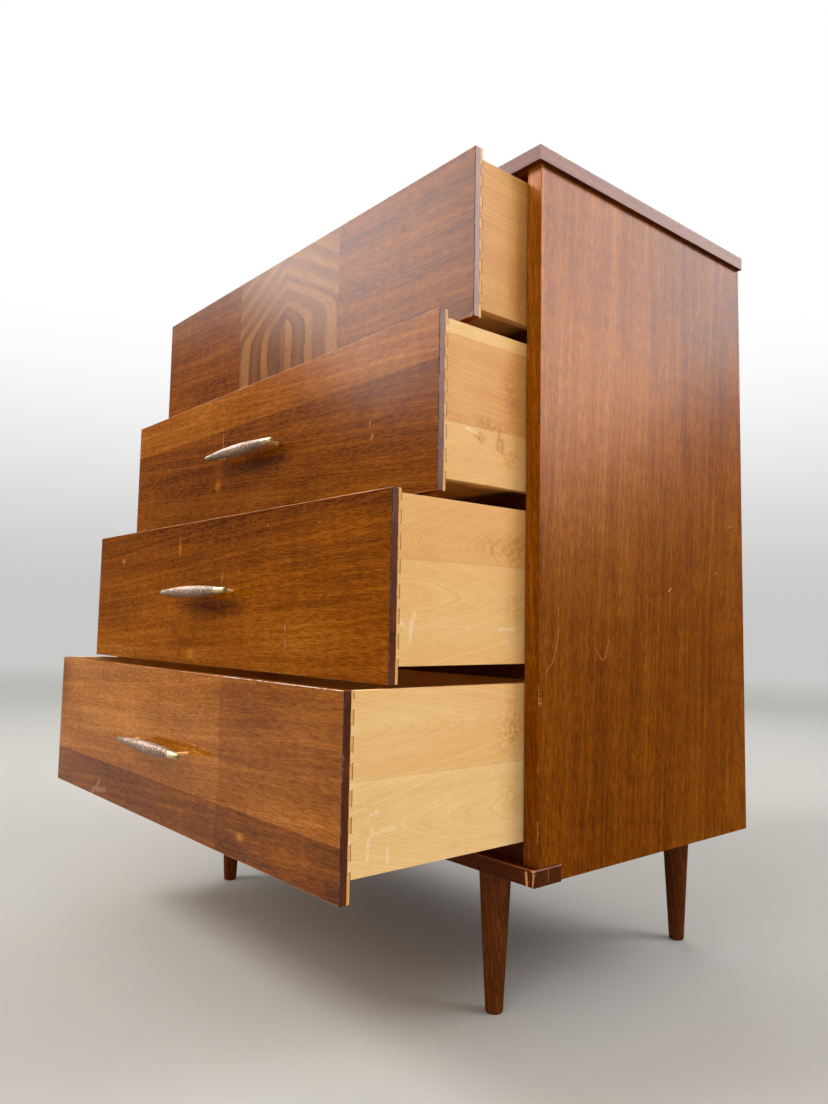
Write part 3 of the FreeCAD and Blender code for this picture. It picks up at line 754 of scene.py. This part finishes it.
def legs():
    finish = wooden("leg_wood", PLAIN_SAWN, "z", "x", shade=0.08, **LACQUER)
    for row in ("front", "rear"):
        for end in ENDS:
            node = f"leg_{row}_{end}"
            low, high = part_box(node)
            foot = rounded_end(0, LEG_FOOT_RADIUS, FOOT_ROUNDING, FOOT_STEPS)
            bm = turned([*foot, (high.z, LEG_TOP_RADIUS)], LEG_SIDES)
            bmesh.ops.translate(bm, verts=bm.verts, vec=((low.x + high.x) / 2, (low.y + high.y) / 2, 0))
            finished(bm, node, (finish,))


# Drawer fronts

# How light each drawer front's veneer is at its lower edge, and how its tone changes up to the upper edge.
# The change is painted shade, darkening the upper part of the second front and most of all the third; the
# tones at the lower edges are partly the veneers' own and partly painted light.
FRONT_SHADE = {1: -0.24, 2: -0.18, 3: 0.03, 4: 0.15}
FRONT_PAINTED_FALL = {1: 0.0, 2: -0.12, 3: -0.34, 4: 0.0}
# How far apart in the log the fronts are cut, across and up
FRONT_CUT = (0.41, 0.29)
# Where each drawer front's veneer differs in tone: patches with their middle and half size in millimetres,
# across from the middle of the front and up from its lower edge, and the change of tone. Some are painted
# light: the dark patches just below the pulls of the second and third fronts are painted shadows of the
# pulls, and the light patches on the upper left of the lowest front and at the lower left and upper right of
# the third are painted sheen.
VENEER_AND_LIGHT_PATCHES = {
    1: ((-380, 30, 120, 50, 0.08), (-230, 180, 160, 60, -0.06), (250, 200, 300, 80, -0.06)),
    2: ((-230, 90, 300, 110, -0.2), (250, 110, 120, 40, 0.08), (-104, 66, 14, 16, 0.5),
        (40, 26, 160, 26, 0.1), (300, 20, 180, 60, 0.14), (30, 88, 120, 34, -0.3)),
    3: ((-94, 178, 10, 24, 0.45), (48, 127, 5, 18, 0.3), (-44, 17, 30, 14, 0.3), (-320, 166, 12, 8, 0.7),
        (-180, 100, 120, 70, 0.04), (-60, 30, 90, 20, -0.12), (400, 60, 160, 120, -0.06),
        (-340, 80, 200, 60, -0.16), (-330, 16, 180, 34, 0.12), (20, 84, 110, 26, -0.26),
        (350, 190, 130, 40, 0.1)),
    4: ((-130, 150, 150, 55, 0.14), (-280, 140, 190, 110, 0.12), (-425, 190, 60, 70, -0.22),
        (0, 212, 500, 14, -0.06), (250, 170, 70, 30, -0.1), (60, 110, 120, 60, 0.06), (228, 28, 16, 9, 0.5),
        (420, 140, 60, 80, -0.1), (330, 50, 170, 70, 0.1), (320, 18, 180, 40, 0.2), (-400, 70, 60, 60, 0.08),
        (200, 40, 60, 30, 0.14)),
}
# Veneer leaves of another tone: from one height or place across to another in millimetres, and the change
VENEER_LEAVES = {
    2: (("up", 155, 300, 0.26), ("across", -500, -90, 0.06)),
    4: (("up", -50, 57, -0.38), ("across", 166, 500, -0.13)),
}
LEAF_EDGE = 0.4 * MM
# The open joint in the dark leaf of the lowest front
LEAF_JOINT = (((166, 0), (166, 56)),)
# Thin pale marks on each front. The second on the lowest front is a painted glint: the reflection of the
# right cone's tip in the lacquer.
FRONT_MARKS_AND_GLINT = {
    1: (((300, 8), (306, 9)), ((427, 2), (431, 5))),
    2: (((302, 94), (303, 103)), ((307, 78), (309, 84)), ((-299, 117), (-298, 120)), ((-280, 85), (-278, 88)),
        ((-91, 125), (-90, 150))),
    3: (((221, 63), (220.5, 53)), ((222.5, 45), (222, 32)), ((170, 191), (171, 193)),
        ((292, 186), (294, 187))),
    4: (((51, 149), (53, 153)), ((138, 110), (140, 112))),
}
# A place where the stain is rubbed off low on the left of the lowest front
RUBBED_PLACE = (((-262, 4), (-242, 12), (-232, 26)), ((-240, 10), (-206, 15)))


def front_veneer(number):
    """Veneer with a level grain, in leaves and patches of different tone, some of them painted shadow and
    sheen, with pale marks, one of them a painted glint.
    """
    finish = Finish(f"front_{number}_veneer")
    low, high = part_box(f"drawer_{number}_front")
    across, _, up = finish.axes(finish.vector("SUBTRACT", finish.place, (0, low.y, low.z)))
    # Painted shade: the front darkens towards its upper edge
    shade = finish.scaled(up, FRONT_PAINTED_FALL[number] / (high.z - low.z), FRONT_SHADE[number])
    # Some of these patches are painted shadows of the pull and painted sheen
    for middle_x, middle_z, half_x, half_z, change in VENEER_AND_LIGHT_PATCHES[number]:
        share = finish.patch(across, up, (middle_x, middle_z), (half_x, half_z))
        shade = finish.scaled(share, change, shade)
    for axis, start, end, change in VENEER_LEAVES.get(number, ()):
        share = finish.within(up if axis == "up" else across, start * MM, end * MM, LEAF_EDGE)
        shade = finish.scaled(share, change, shade)
    place = grained(finish, "x", "z", (FRONT_CUT[0] * number, 0, FRONT_CUT[1] * number))
    colour, height = wood(finish, place, WALNUT, shade)
    colour = marked(finish, colour, across, up, FRONT_MARKS_AND_GLINT[number], PALE_MARK)
    if number == 4:
        colour = marked(finish, colour, across, up, LEAF_JOINT, OPEN_JOINT)
        colour = marked(finish, colour, across, up, RUBBED_PLACE, RUBBED_STAIN, broken=True)
    return surfaced(finish, colour, height, **(FULL_LACQUER if number == 4 else LACQUER))


STAIN_TONES = tones((0.3, "4c2414"), (0.7, "66341c"))
SCUFF_TONES = tones((0.35, "231a1a"), (0.58, "4c3f3d"), (0.8, "a89c96"))
SCUFF_DEPTH = 1.5 * MM
SCUFF_EDGES = (-0.5 * MM, 0.5 * MM)
STAIN_REPEATS = 30
SCUFF_REPEATS = 110
SPECK_REPEATS = (700, 700, 160)
SPECK_ROUGHNESS = 0.7


def stained_end(number):
    """The dark stain on the ends of a front, scuffed grey along its front edge."""
    finish = Finish(f"front_{number}_stained_end")
    _, back, _ = finish.axes(finish.place)
    place = finish.add("Mapping", {"Vector": finish.place, "Scale": SPECK_REPEATS}).outputs[0]
    specks = finish.texture(place, 1, 3, SPECK_ROUGHNESS)
    depth = finish.less(back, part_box(f"drawer_{number}_front")[0].y)
    reach = finish.times(finish.noise(SCUFF_REPEATS), 2 * SCUFF_DEPTH)
    worn = finish.step(finish.less(reach, depth), *SCUFF_EDGES)
    stain = finish.ramp(finish.noise(STAIN_REPEATS), STAIN_TONES)
    colour = finish.blend(worn, stain, finish.ramp(specks, SCUFF_TONES))
    return surfaced(finish, colour, specks, roughness=0.6, relief=0.35, lacquer=STAIN_LACQUER[number],
                    lacquer_roughness=STAIN_ROUGHNESS)


WORN_WOOD = paint("c48a58")
RUBBED_WHITE = paint("e2d6cc")
# The arrises are lighter than the face, partly as wear and partly as a painted highlight
ARRIS_SHADE = 0.15
WEAR_REPEATS = 26
WEAR_EDGES = (0.35, 0.6)
# Where the top arris of the lowest drawer is rubbed white: from one place across to another, with its soft
# ends, how far below the top it ends and shows in full, and its patches
RUBBED_REACH = (150 * MM, 425 * MM)
RUBBED_ENDS = 12 * MM
RUBBED_DEPTH = (3 * MM, 2 * MM)
RUBBED_PATCH_REPEATS = 60
RUBBED_PATCH_EDGES = (0.4, 0.55)


def arris_wood(number):
    """The arrises of a front, lighter than its face partly as a painted highlight, worn down to paler wood
    and rubbed white on the lowest drawer.
    """
    finish = Finish(f"front_{number}_arris")
    across, _, up = finish.axes(finish.place)
    colour, height = wood(finish, grained(finish, "x", "z"), WALNUT, ARRIS_SHADE)
    colour = finish.blend(finish.step(finish.noise(WEAR_REPEATS), *WEAR_EDGES), colour, WORN_WOOD)
    if number == 4:
        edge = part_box("drawer_4_front")[1].z
        top = finish.step(up, edge - RUBBED_DEPTH[0], edge - RUBBED_DEPTH[1])
        rubbed = finish.times(finish.within(across, *RUBBED_REACH, RUBBED_ENDS), top)
        patchy = finish.step(finish.noise(RUBBED_PATCH_REPEATS), *RUBBED_PATCH_EDGES)
        colour = finish.tint(colour, RUBBED_WHITE, rubbed, patchy)
    return surfaced(finish, colour, height, **LACQUER)


# The finishes of a drawer front, in the order of its material slots
FRONT_FINISHES = ("veneer", "stained end", "bare end", "inside", "arris", "top edge")


def drawer_front(number, finishes):
    """A front with rounded arrises. Its ends are stained as far back as the dovetails, then bare."""
    node = f"drawer_{number}_front"
    low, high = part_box(node)
    bm = copy_of(node)
    rounded(bm, arrises(bm, (low, high)))
    lap = low.y + LAP
    everything = bm.verts[:] + bm.edges[:] + bm.faces[:]
    bmesh.ops.bisect_plane(bm, geom=everything, plane_co=(0, lap, 0), plane_no=(0, 1, 0))
    for face in bm.faces:
        middle = face.calc_center_median()
        in_lap = middle.y < lap
        if high.x - abs(middle.x) < ARRIS:
            finish = "stained end" if in_lap else "bare end"
        elif face.normal.y < -SQUARE_ON and middle.y - low.y < WELD:
            finish = "veneer"
        elif abs(face.normal.z) > SQUARE_ON and min(middle.z - low.z, high.z - middle.z) < WELD:
            finish = "top edge"
        else:
            finish = "arris" if in_lap else "inside"
        face.material_index = FRONT_FINISHES.index(finish)
    finished(bm, node, [finishes[name] for name in FRONT_FINISHES])


# The inlay's stripes, from the seam outwards: the tone at each distance in millimetres. They stand upright as
# far as the arches start, and from there they lean in to the seam.
BLOND = paint("94602e")
BROWN = paint("784724")
DARK = paint("5e3416")
PALE = paint("7c4b28")
INLAY_REACH = 370
INLAY_STRIPES = {
    "left": ((0, BROWN), (16, BROWN), (19, DARK), (36, DARK), (52, DARK), (55, BLOND),
             (71, BLOND), (75, DARK), (96, BROWN), (112, DARK), (117, BLOND), (138, BLOND),
             (145, BROWN), (150, DARK), (166, BROWN), (174, BLOND), (190, BLOND), (197, BROWN),
             (206, DARK), (224, BROWN), (234, BLOND), (250, BLOND), (258, BROWN), (288, DARK),
             (306, BLOND), (326, BROWN), (360, DARK)),
    "right": ((0, BLOND), (20, BLOND), (24, DARK), (40, BROWN), (57, DARK), (61, BLOND),
              (78, BLOND), (83, BROWN), (116, BROWN), (122, BLOND), (143, BLOND), (149, DARK),
              (163, BROWN), (170, BLOND), (188, BLOND), (196, BROWN), (216, DARK), (230, BROWN),
              (236, BLOND), (250, BLOND), (258, BROWN), (286, DARK), (296, BLOND), (330, BROWN),
              (360, DARK)),
}
ARCH_START = 104 * MM
ARCH_LEAN = 2.0
ARCH_ROUNDNESS = 26 * MM
# How often and how far the stripes sway, and the fine ridges along them, which turn with the arches
STRIPE_SWAY_REPEATS = 14
STRIPE_SWAY = 22 * MM
RIDGE_REPEATS = (30, 520)
RIDGE_SWAY = 6 * MM
RIDGE_TURN = 1.6
# Where the stripes pale: in patches of one strength, and over a span of heights by another. The paling over
# the heights is painted sheen, towards the top of the inlay.
FADE_REPEATS = 20
FADE_EDGES = (0.4, 0.75)
FADE_STRENGTH = 0.7
UPPER_SHEEN_FADE = 0.35
UPPER_SHEEN_FADE_SPAN = (80 * MM, 190 * MM)
RIDGE_STRENGTH = 0.3
FIBRE_REPEATS = (90, 420)
FIBRE_EDGES = (0.52, 0.68)
FIBRE_STRENGTH = 0.4
# Small dark knots, across from the seam and up from the front's lower edge, in millimetres
INLAY_KNOTS = ((-18, 46), (22, 48), (88, 50), (34, 167), (122, 183), (79, 180))
KNOT_HALF_SIZE = (5, 4)
DARK_MARK_STRENGTH = 0.6
INLAY_SEAM_HALF = 0.5 * MM


def inlay_veneer(end):
    """One leaf of the inlay, whose blond stripes rise from the lower edge and lean over to the seam."""
    finish = Finish(f"inlay_veneer_{end}")
    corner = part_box("drawer_1_front")[0]
    across, _, up = finish.axes(finish.vector("SUBTRACT", finish.place, (0, corner.y, corner.z)))
    above = finish.math("SMOOTH_MAX", finish.less(up, ARCH_START), 0, ARCH_ROUNDNESS)
    radius = finish.scaled(above, ARCH_LEAN, finish.math("ABSOLUTE", across))
    sway = finish.noise(STRIPE_SWAY_REPEATS, detail=2)
    radius = finish.scaled(finish.less(sway, 0.5), STRIPE_SWAY, radius)
    lengthways = finish.less(up, finish.times(above, RIDGE_TURN))
    ridges = finish.noise(*RIDGE_REPEATS, place=finish.point(lengthways, radius))
    radius = finish.scaled(finish.less(ridges, 0.5), RIDGE_SWAY, radius)
    stops = [(distance / INLAY_REACH, tone) for distance, tone in INLAY_STRIPES[end]]
    colour = finish.ramp(finish.math("DIVIDE", radius, INLAY_REACH * MM), stops)
    plain = finish.times(finish.step(finish.noise(FADE_REPEATS), *FADE_EDGES), FADE_STRENGTH)
    # Painted sheen: the stripes fade towards the top of the inlay
    plain = finish.math("MULTIPLY_ADD", finish.step(up, *UPPER_SHEEN_FADE_SPAN), UPPER_SHEEN_FADE, plain, True)
    colour = finish.blend(plain, colour, PALE)
    colour = finish.tint(colour, DARK, finish.vein(ridges), RIDGE_STRENGTH)
    fibres = finish.noise(*FIBRE_REPEATS, detail=2, place=grained(finish, "x", "z"))
    colour = finish.tint(colour, DARK, finish.step(fibres, *FIBRE_EDGES), FIBRE_STRENGTH)
    for middle in INLAY_KNOTS:
        knot = finish.patch(across, up, middle, KNOT_HALF_SIZE)
        colour = finish.tint(colour, WALNUT["pore"], knot, DARK_MARK_STRENGTH)
    seam = finish.within(across, -INLAY_SEAM_HALF, INLAY_SEAM_HALF, LEAF_EDGE)
    colour = finish.tint(colour, WALNUT["pore"], seam, DARK_MARK_STRENGTH)
    return surfaced(finish, colour, ridges, **LACQUER)


def inlay():
    """Two leaves flush with the front, rounded over at its upper and lower edges as the front is. The faces
    between the leaves go, because they would spoil the shading along the seam."""
    node = "drawer_1_inlay"
    bm = copy_of(node)
    rounded(bm, arrises(bm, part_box(node), ("y-", "z-", "z+")))
    seam = [face for face in bm.faces if abs(face.calc_center_median().x) < WELD]
    bmesh.ops.delete(bm, geom=seam, context="FACES_ONLY")
    for face in bm.faces:
        face.material_index = int(face.calc_center_median().x > 0)
    finished(bm, node, (inlay_veneer("left"), inlay_veneer("right")))


# Drawer boxes

# The glued boards of each drawer's sides, from the lowest up: the height where each starts; how far from the
# front end and how high its heart lies, how deep, and its taper; its change of tone; and its blush. The
# change of tone is partly painted light: it makes the sides of the top drawer darker and those of the lowest
# lighter.
SIDE_BOARDS = {
    1: ((0, (60, -30, 25, 0.04), -0.36, 0.1), (112, (60, 230, 25, -0.05), -0.32, 0)),
    2: ((0, (66, 34, 10, 0.22), 0.0, 0), (68, (0, 20, 15, 0.1), -0.16, 0.4),
        (173, (0, 240, 15, 0.1), 0.06, 0)),
    3: ((0, (138, 77, 9, 0.22), 0.08, 0), (117, (91, 137, 16, -0.36), 0.02, 0.35)),
    4: ((0, (150, 46, 10, -0.24), 0.24, 0), (97, (60, 150, 9, 0.17), 0.14, 0.15)),
}
# Darker patches on the right-hand sides: those near the case's mouth are painted shade, cast by the case, and
# the small dark ones are knots: middle, half size and change of tone
SIDE_SHADE_AND_KNOTS = {
    1: ((78, 44, 40, 50, -0.36), (86, 26, 30, 34, -0.5)),
    2: ((58, 56, 16, 12, -0.6), (93, 54, 12, 20, -0.7), (70, 74, 60, 14, -0.3), (20, 76, 22, 10, -0.2),
        (110, 120, 24, 60, -0.3), (112, 40, 22, 30, -0.3)),
    3: ((150, 140, 50, 26, -0.2), (190, 137, 40, 40, -0.3), (190, 70, 40, 40, -0.2)),
    4: ((235, 130, 34, 36, -0.3), (250, 150, 30, 50, -0.25), (235, 60, 30, 40, -0.2), (20, 60, 40, 60, -0.1)),
}
SIDE_SCUFFS = {
    2: (((36, 64), (52, 61)),),
    3: (((25, 58), (23, 46), (20, 27)), ((21, 50), (19, 34)), ((3, 50), (9, 45)), ((160, 41), (184, 42))),
    4: (((28, 62), (38, 63)), ((28, 40), (44, 43), (58, 44)), ((27, 38), (25, 16)), ((52, 24), (52, 10)),
        ((1, 38), (4, 30)), ((226, 118), (233, 119))),
}
GLUE_TONE = paint("a8713c")
BLUSH = paint("f5d3bd")
# Half the width of the glue between two boards, how softly it ends, and how strongly it shows
SEAM_HALF = 0.2 * MM
SEAM_EDGE = 0.3 * MM
SEAM_STRENGTH = 0.35
SHADE_AND_KNOT_REPEATS = (80, 160)
SHADE_AND_KNOT_EDGES = (0.36, 0.62)
SHADE_AND_KNOT_ROUGHNESS = 0.65
# How far apart in the log the drawers' sides are cut
MAPLE_CUT = 0.37


def side_maple(number, end):
    """Glued maple boards with arched rings, scuffed on the right-hand side, and darkened there by painted
    shade near the case and by knots.
    """
    finish = Finish(f"drawer_{number}_maple_{end}")
    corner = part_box(f"drawer_{number}_side_{end}")[0]
    thick, back, up = finish.axes(finish.vector("SUBTRACT", finish.place, corner))
    chosen = None
    seams = 0.0
    for start, (middle, height, depth, taper), change, blush in SIDE_BOARDS[number]:
        heart = (middle * MM, height * MM, depth * MM, taper)
        board_here = finish.point(growth(finish, back, up, heart), change, blush)
        if chosen is None:
            chosen = board_here
            continue
        seam = (start * MM - SEAM_HALF, start * MM + SEAM_HALF)
        chosen = finish.choose(finish.step(up, *seam), chosen, board_here)
        seams = finish.math("MAXIMUM", seams, finish.within(up, *seam, SEAM_EDGE))
    radius, shade, blush = finish.axes(chosen)
    if end == "right":
        # Painted shade near the case's mouth, broken into blotches, and knots
        blotches = finish.step(finish.noise(*SHADE_AND_KNOT_REPEATS, 4, roughness=SHADE_AND_KNOT_ROUGHNESS), *SHADE_AND_KNOT_EDGES)
        for middle_y, middle_z, half_y, half_z, change in SIDE_SHADE_AND_KNOTS[number]:
            share = finish.patch(back, up, (middle_y, middle_z), (half_y, half_z))
            share = finish.times(share, blotches)
            shade = finish.scaled(share, change, shade)
    place = finish.point(back, up, finish.math("ADD", thick, MAPLE_CUT * number))
    colour, height = wood(finish, place, MAPLE, shade, radius)
    colour = finish.blend(blush, colour, BLUSH, "MULTIPLY")
    colour = finish.tint(colour, GLUE_TONE, seams, SEAM_STRENGTH)
    if end == "right" and number in SIDE_SCUFFS:
        colour = marked(finish, colour, back, up, SIDE_SCUFFS[number], MAPLE_SCUFF, broken=True)
    return surfaced(finish, colour, height, roughness=0.55, relief=0.1)


def drawer_side(number, end, glue):
    """A side with a thin glue line around its dovetails."""
    node = f"drawer_{number}_side_{end}"
    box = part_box(node)
    joint = box[0].y + TAIL_LENGTH
    outer = plane_of("x+" if ENDS[end] > 0 else "x-", box)
    bm = copy_of(node)
    tails = [edge for edge in bm.edges
             if lies_on(edge, *outer) and max(vert.co.y for vert in edge.verts) < joint + WELD]
    for face in rounded(bm, tails, GLUE_LINE, 1):
        face.material_index = 1
    long_edges = [edge for edge in arrises(bm, box, ("x-", "x+", "y+", "z-", "z+"))
                  if max(vert.co.y for vert in edge.verts) > joint + ARRIS]
    rounded(bm, long_edges)
    finished(bm, node, (side_maple(number, end), glue))


def drawers():
    glue = wooden("glue_line", PLAIN_SAWN, "y", "z")
    back = wooden("drawer_back_maple", MAPLE, "x", "z", shift=(0.2, 0, 0.4))
    plywood = wooden("drawer_plywood", MAPLE, "x", "y", shift=(0.5, 0.3, 0), shade=0.05)
    finishes = {
        "bare end": wooden("front_core", MAPLE, "x", "z", shade=-0.15),
        "inside": wooden("front_inside", MAPLE, "x", "z", shift=(0.3, 0, 0.7), shade=-0.2),
        "top edge": wooden("front_top_edge", WALNUT, "x", "y", shade=-0.05, **LACQUER),
    }
    for number in DRAWERS:
        finishes["veneer"] = front_veneer(number)
        finishes["stained end"] = stained_end(number)
        finishes["arris"] = arris_wood(number)
        drawer_front(number, finishes)
        for end in ENDS:
            drawer_side(number, end, glue)
        board(f"drawer_{number}_back", back)
        board(f"drawer_{number}_bottom", plywood)
    inlay()


# Pulls

SPINDLE_SIDES = 32
RIBS = 21
RINGS_PER_RIB = 8
RIB_DEPTH = 0.8 * MM
RIBBED_HALF = 75 * MM
SHOULDER_RADIUS = 5.25 * MM
CONE_STEP = 0.3 * MM
TIP_RADIUS = 3.5 * MM
TIP_ROUNDING = 1.2 * MM
TIP_STEPS = 3
CLEARANCE = 0.03 * MM


def spindle_stations(half_length, middle_radius):
    """Half of a spindle pull from its tip inwards: a rounded tip, a plain cone and a swelling ribbed grip."""
    stations = rounded_end(-half_length, TIP_RADIUS, TIP_ROUNDING, TIP_STEPS)
    stations.append((-RIBBED_HALF - CONE_STEP, SHOULDER_RADIUS - CONE_STEP))
    swell = middle_radius - SHOULDER_RADIUS
    bend = (RIBBED_HALF ** 2 + swell ** 2) / (2 * swell)
    rings = RIBS * RINGS_PER_RIB // 2
    for index in range(rings + 1):
        place = -RIBBED_HALF + index * RIBBED_HALF / rings
        crest = math.sqrt(bend ** 2 - place ** 2) - bend + middle_radius
        groove = RIB_DEPTH * (1 - abs(math.sin(index / RINGS_PER_RIB * math.pi)))
        stations.append((place, crest - groove))
    return stations


GRIP_TONES = tones((0.3, "84685a"), (0.6, "a3856f"), (0.85, "bda38d"))
GROOVE_TONE = paint("3a2a22")
GROOVE_EDGES = (0.1, 0.65)
PATINA_REPEATS = 120
CONE_TONES = tones((0.25, "6e5f38"), (0.5, "b09a66"), (0.8, "dac99a"))
TARNISHED_AND_SHADED_TONES = tones((0.25, "453b24"), (0.5, "6c5e3a"), (0.8, "988758"))
# The posts' pale orange is partly a painted reflection of the wood front that they stand over
POST_TONES = tones((0.25, "e8a850"), (0.7, "ffd88c"))


def ribbed_metal():
    """Aged copper-grey metal of the ribbed grips, darkened in its grooves."""
    finish = Finish("ribbed_metal")
    across, _, _ = finish.axes(finish.place)
    half_turns = RIBS / (2 * RIBBED_HALF) * math.pi
    turns = finish.times(finish.math("ADD", across, RIBBED_HALF), half_turns)
    crest = finish.step(finish.math("ABSOLUTE", finish.math("SINE", turns)), *GROOVE_EDGES)
    colour = finish.ramp(finish.noise(PATINA_REPEATS), GRIP_TONES)
    finish.shine(base_color=finish.blend(crest, GROOVE_TONE, colour), metallic=0.03, roughness=0.45,
                 specular_ior_level=0.06)
    return finish.holder


def brass(name, stops, metallic, roughness):
    """Brass, a little tarnished."""
    finish = Finish(name)
    colour = finish.ramp(finish.noise(METAL_REPEATS), stops)
    finish.shine(base_color=colour, metallic=metallic, roughness=roughness, specular_ior_level=0.1)
    return finish.holder


def pulls():
    """Spindles with a ribbed grip and a brass cone at each end, the left one darker, partly as tarnish and
    partly as a painted reflection of dark surroundings.
    """
    grip = ribbed_metal()
    cone = brass("cone_brass", CONE_TONES, metallic=0.12, roughness=0.36)
    # The left cone's darker brass is partly a painted reflection of dark surroundings
    tarnished = brass("tarnished_and_shaded_brass", TARNISHED_AND_SHADED_TONES, metallic=0.12, roughness=0.36)
    posts = brass("post_brass", POST_TONES, metallic=0.3, roughness=0.4)
    for number in PULLED_DRAWERS:
        node = f"pull_{number}_bar"
        low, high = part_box(node)
        half = spindle_stations((high.x - low.x) / 2, (high.z - low.z) / 2 - CLEARANCE)
        stations = half + [(-place, radius) for place, radius in reversed(half[:-1])]
        bm = turned(stations, SPINDLE_SIDES)
        bmesh.ops.rotate(bm, verts=bm.verts, matrix=Matrix.Rotation(math.pi / 2, 3, "Y"))
        bmesh.ops.translate(bm, verts=bm.verts, vec=(low + high) / 2)
        for face in bm.faces:
            place = face.calc_center_median().x
            if abs(place) > RIBBED_HALF:
                face.material_index = 1 if place > 0 else 2
        finished(bm, node, (grip, cone, tarnished))
        coated(f"pull_{number}_fixings", posts)


bpy.context.scene.view_settings.view_transform = "Standard"
camera()
backdrop()
lamps()
case()
legs()
drawers()
pulls()
